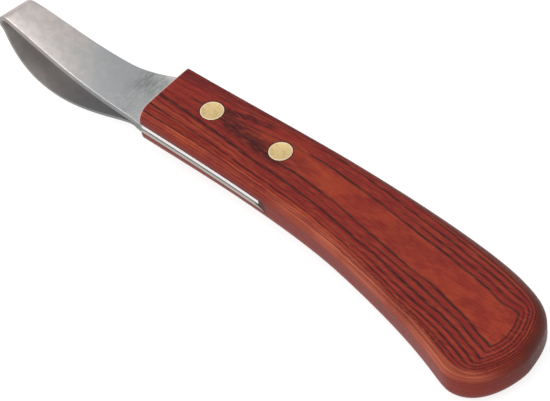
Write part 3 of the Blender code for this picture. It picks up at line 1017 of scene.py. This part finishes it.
def slice_front(obj):
    """Divides the square front into small faces, so that its veneers can be told apart."""
    shape = bmesh.new()
    shape.from_mesh(obj.data)
    for axis, low, high in FRONT_SLICES:
        for place in np.arange(low, high, FRONT_SLICE_STEP) * MM:
            front = [f for f in shape.faces if abs(f.calc_center_median().x - FRONT_X) < ON_FACE]
            parts = set(front)
            parts.update(e for f in front for e in f.edges)
            parts.update(v for f in front for v in f.verts)
            point = [0.0, 0.0, 0.0]
            point[axis] = place
            normal = [0.0, 0.0, 0.0]
            normal[axis] = 1.0
            bmesh.ops.bisect_plane(shape, geom=list(parts), plane_co=point, plane_no=normal)
    shape.to_mesh(obj.data)
    shape.free()


def veneer_heights(points):
    """How high each point lies in the stack of veneers, in millimetres.

    The top veneer begins at 0. Sanding has domed the wide faces, so a point nearer the outline
    shows a deeper veneer.
    """
    outline = smooth_path(HANDLE_OUTLINE, OUTLINE_STEPS)[::2] / MM
    far_side = np.arange(len(outline)) <= BUTT_ANCHOR * OUTLINE_STEPS // 2
    at_butt = smooth_step(outline[:, 0], *BUTT_CROWDING_RUN)
    weight = 1.0 + BUTT_CROWDING * at_butt
    far_lift = FAR_LIFT * (1.0 - smooth_step(outline[:, 0], *FAR_LIFT_RUN))
    near_drop = NEAR_DROP * smooth_step(outline[:, 0], *NEAR_DROP_RUN) * (1.0 - at_butt)
    lift = np.where(far_side, far_lift, -near_drop)
    lift -= FRONT_SPREAD * np.clip(FRONT_SPREAD_FROM - outline[:, 0], 0.0, None)
    x, y, z = (points / MM).T
    gaps = np.full(len(points), np.inf)
    for (edge_x, edge_y), edge_weight, edge_lift in zip(outline, weight, lift):
        gaps = np.minimum(gaps, edge_weight * np.hypot(x - edge_x, y - edge_y) + edge_lift)
    dome = DOME * (np.clip(gaps, *DOME_RANGE) - DOME_LEVEL)
    return z - HALF_THICKNESS / MM + dome * z * MM / HALF_THICKNESS


def make_handle(surface):
    """The block with its slot and rivet holes, and each vertex's height in the stack of veneers."""
    handle = handle_body()
    holes = [rivet_hole(number, x) for number, x in enumerate(RIVET_X)]
    cut_away(handle, [tang_slot(), *holes])
    slice_front(handle)
    points = np.array([vertex.co for vertex in handle.data.vertices])
    veneer = handle.data.attributes.new("veneer", "FLOAT", "POINT")
    veneer.data.foreach_set("value", veneer_heights(points))
    shade(handle, HANDLE_SHARP_ANGLE)
    finish_piece(handle, "handle", surface)


# ---------------------------------------------------------------- blade


def strip_stations():
    """(x, z) along the strip's middle line, from the end of the upper leaf to that of the lower."""
    upper = [(x, LEAF_LEVEL) for x in np.linspace(UPPER_LEAF_END, FLARE_END, LEAF_STEPS)]
    lower = [(x, -LEAF_LEVEL) for x in np.linspace(FLARE_END, LOWER_LEAF_END, LEAF_STEPS)]
    lower[-1:-1] = [(LOWER_LEAF_END - LEAF_POINT, -LEAF_LEVEL)]
    loop = [*smooth_path(LOOP_PATH, LOOP_STEPS), (0.0, -LEAF_LEVEL)]
    return np.array(upper + loop + lower)


def near_tip(x):
    """0 along the loop, rising to 1 over the last few millimetres before the fold."""
    return min(max(-x / LOOP_REACH, 0.0), 1.0) ** TIP_SHARPNESS


def strip_edges(x, far_side, near_side):
    """The y of the strip's near and far edges at x: flush with the handle, then tapering."""
    ahead = -x / LOOP_REACH
    near_flush = float(np.interp(x, near_side[:, 0], near_side[:, 1]))
    far_flush = float(np.interp(x, far_side[:, 0], far_side[:, 1]))
    near = near_flush + LOOP_NEAR_TAPER * max(ahead, 0.0)
    swell = max(1.0 + x / FLARE_LENGTH, 0.0)
    far = LOOP_FAR_Y - LOOP_FAR_TAPER * ahead + FLARE_RISE * swell * swell
    far -= TIP_CORNER * near_tip(x)
    return near, min(far, far_flush)


def grind_at(x):
    """The share of the full grind at x: none in the handle, and little where the strip folds."""
    run_out = min(max(-x / GRIND_RUN_OUT, EDGE_BREAK), 1.0)
    return run_out * (1.0 - (1.0 - GRIND_AT_TIP) * near_tip(x))


def softened(corners, radius):
    """A closed section with each corner turned into a small round of three points."""
    rounds = []
    befores, afters = corners[-1:] + corners[:-1], corners[1:] + corners[:1]
    for before, corner, after in zip(befores, corners, afters):
        ends = []
        for other in (before, after):
            away = np.array(other) - np.array(corner)
            length = np.linalg.norm(away)
            ends.append(np.array(corner) + away * min(radius / length, CORNER_LIMIT))
        middle = (ends[0] + ends[1]) / 4 + np.array(corner) / 2
        rounds += [ends[0], middle, ends[1]]
    return rounds


def strip_section(near, far, ground, thickness):
    """(y, height above the inner face) round the strip's section, ground thin at both edges."""
    width = GRIND_WIDTH * ground
    edge = thickness - GRIND_DEPTH * ground * thickness / STRIP
    corners = [
        (near, 0.0),
        (near, edge),
        (near + width, thickness),
        (far - width, thickness),
        (far, edge),
        (far, 0.0),
    ]
    return softened(corners, STRIP_CORNER)


def mark_ground(mesh, vertices, levels):
    """Marks each vertex from 0 on the strip's dull inner face to 1 on its ground outer one."""
    level_at = {tuple(np.round(vertex, MATCH_PLACES)): level for vertex, level in zip(vertices, levels)}
    ground = mesh.attributes.new("ground", "FLOAT", "POINT")
    for spot, vertex in zip(ground.data, mesh.vertices):
        spot.value = level_at.get(tuple(np.round(vertex.co, MATCH_PLACES)), 1.0)


def thickness_at(x, on_lower_leaf):
    """The strip's thickness at x: even, but for the point at the end of the lower leaf."""
    left = LOWER_LEAF_END - x if on_lower_leaf else LEAF_POINT
    return STRIP * min(max(left / LEAF_POINT, POINT_SHARE), 1.0)


def strip_ring(station, travel, thickness, edges):
    """The strip's section, stood across its middle line, and each point's level through it."""
    (x, z), (along_x, along_z) = station, travel
    near, far = edges
    skew = TIP_SKEW * max(-x / LOOP_REACH, 0.0) ** 2
    ring, levels = [], []
    for y, height in strip_section(near, far, grind_at(x), thickness):
        out = height + STRIP - thickness - STRIP / 2
        place_x = x + along_z * out + skew * (y - (near + far) / 2)
        ring.append((place_x, y, z - along_x * out))
        levels.append(height / thickness)
    return ring, levels


def make_blade(surface):
    """The strip swept along its stations, with the tang's rivet holes."""
    far_side, near_side = handle_sides()
    stations = strip_stations()
    vertices, levels = [], []
    for number, (station, travel) in enumerate(zip(stations, directions(stations))):
        on_lower_leaf = number > len(stations) - LEAF_STEPS
        thickness = thickness_at(station[0], on_lower_leaf)
        edges = strip_edges(station[0], far_side, near_side)
        ring, ring_levels = strip_ring(station, travel, thickness, edges)
        vertices += ring
        levels += ring_levels
    count = len(ring)
    ends = [tuple(range(count)), tuple(range(len(vertices) - count, len(vertices)))]
    faces = ends + ring_faces(len(stations), count)
    blade = mesh_object("loop_blade_steel", vertices, faces)
    mark_ground(blade.data, vertices, levels)
    hole = [(TUBE_RADIUS + GLUE_LINE, HALF_THICKNESS), (TUBE_RADIUS + GLUE_LINE, -HALF_THICKNESS)]
    cut_away(blade, [turned(f"tang_hole_{i}", hole, x) for i, x in enumerate(RIVET_X)])
    shade(blade, BLADE_SHARP_ANGLE)
    finish_piece(blade, "loop_blade", surface)


# ---------------------------------------------------------------- rivets


def rivet_face(top):
    """The head's face, (radius, z) from the middle outwards: a flat with a fine rounded rim."""
    return [
        (HEAD_RADIUS - RIM_WIDTH - RIM_EASE, top - HEAD_DISH),
        (HEAD_RADIUS - RIM_WIDTH, top - RIM_FOOT),
        (HEAD_RADIUS - RIM_WIDTH + RIM_EASE, top),
        (HEAD_RADIUS - RIM_EASE, top),
        (HEAD_RADIUS - RIM_CORNER, top - RIM_CORNER),
        (HEAD_RADIUS, top - RIM_EASE),
    ]


def make_rivet(number, x, surface):
    """The tube half from above, and the pin half from below that is pressed into it."""
    top = HALF_THICKNESS
    roof = top - HEAD_HEIGHT - RIVET_END_GAP
    tube_end = -top + HEAD_HEIGHT + RIVET_END_GAP
    tube = [
        *rivet_face(top),
        (HEAD_RADIUS, top - HEAD_HEIGHT),
        (TUBE_RADIUS, top - HEAD_HEIGHT),
        (TUBE_RADIUS, tube_end),
        (BORE_RADIUS, tube_end),
        (BORE_RADIUS, roof),
    ]
    pin = [
        (PIN_RADIUS, roof - RIVET_END_GAP),
        (PIN_RADIUS, -top + HEAD_HEIGHT),
        (HEAD_RADIUS, -top + HEAD_HEIGHT),
        *[(radius, -z) for radius, z in reversed(rivet_face(top))],
    ]
    for half, profile in (("tube", tube), ("pin", pin)):
        piece = turned(f"rivet_{number}_{half}", profile, x)
        shade(piece, RIVET_SHARP_ANGLE)
        finish_piece(piece, f"rivet_{number}_{half}_half", surface)


# ---------------------------------------------------------------- table, light and camera


def make_table():
    """A pale, faintly mottled sheet that glows a little, as a table lit from all round does."""
    made, tree, shader = new_surface("white_table")
    place = add_node(tree, "ShaderNodeTexCoord").outputs["Object"]
    colour = ramp(tree, grains(tree, place, TABLE_GRAIN, detail=3.0), TABLE_GREYS)
    inputs = {"Base Color": colour, "Roughness": TABLE_ROUGHNESS, "Specular IOR Level": 0.0}
    inputs.update({"Emission Color": WHITE, "Emission Strength": TABLE_GLOW})
    set_inputs(tree, shader, inputs)
    half = TABLE_HALF_WIDTH
    corners = [(-half, -half, 0.0), (half, -half, 0.0), (half, half, 0.0), (-half, half, 0.0)]
    table = mesh_object("table", corners, [(0, 1, 2, 3)])
    table.data.materials.append(made)


def away_from(azimuth, elevation):
    """The unit way out to something at an azimuth and elevation in degrees; azimuth 0 is -Y."""
    azimuth, elevation = math.radians(azimuth), math.radians(elevation)
    flat = math.cos(elevation)
    return Vector((math.sin(azimuth) * flat, -math.cos(azimuth) * flat, math.sin(elevation)))


def area_light(name, azimuth, elevation, distance, size, power):
    """A soft square lamp that looks at the middle of the table."""
    light = bpy.data.lights.new(name, "AREA")
    light.size = size
    light.energy = power
    lamp = bpy.data.objects.new(name, light)
    bpy.context.scene.collection.objects.link(lamp)
    lamp.location = away_from(azimuth, elevation) * distance
    lamp.rotation_euler = lamp.location.to_track_quat("Z", "Y").to_euler()


def light_studio():
    """White light from all round, and the lamps."""
    world = bpy.data.worlds.new("studio")
    world.use_nodes = True
    background = world.node_tree.nodes["Background"]
    set_inputs(world.node_tree, background, {"Color": WHITE, "Strength": STUDIO_STRENGTH})
    bpy.context.scene.world = world
    bpy.context.scene.view_settings.view_transform = "Standard"
    for name, settings in LAMPS.items():
        area_light(name, *settings)


def make_camera():
    """Looks at the knife from beside its butt, turned a little about the line of sight."""
    back = away_from(CAMERA_AZIMUTH, CAMERA_ELEVATION)
    azimuth = math.radians(CAMERA_AZIMUTH)
    level = Vector((math.cos(azimuth), math.sin(azimuth), 0.0))
    roll = Matrix.Rotation(math.radians(CAMERA_ROLL), 3, back)
    right = roll @ level
    up = back.cross(right)
    place = Vector(CAMERA_TARGET) + back * CAMERA_DISTANCE
    turn = Matrix((right, up, back)).transposed().to_4x4()
    data = bpy.data.cameras.new("camera")
    data.sensor_width = SENSOR_WIDTH
    data.lens = CAMERA_LENS
    camera = bpy.data.objects.new("camera", data)
    bpy.context.scene.collection.objects.link(camera)
    camera.matrix_world = REST @ Matrix.Translation(place) @ turn
    bpy.context.scene.camera = camera


make_camera()
make_handle(wood_surface())
make_blade(steel_surface())
brass = brass_surface()
for number, x in enumerate(RIVET_X, start=1):
    make_rivet(number, x, brass)
make_table()
light_studio()
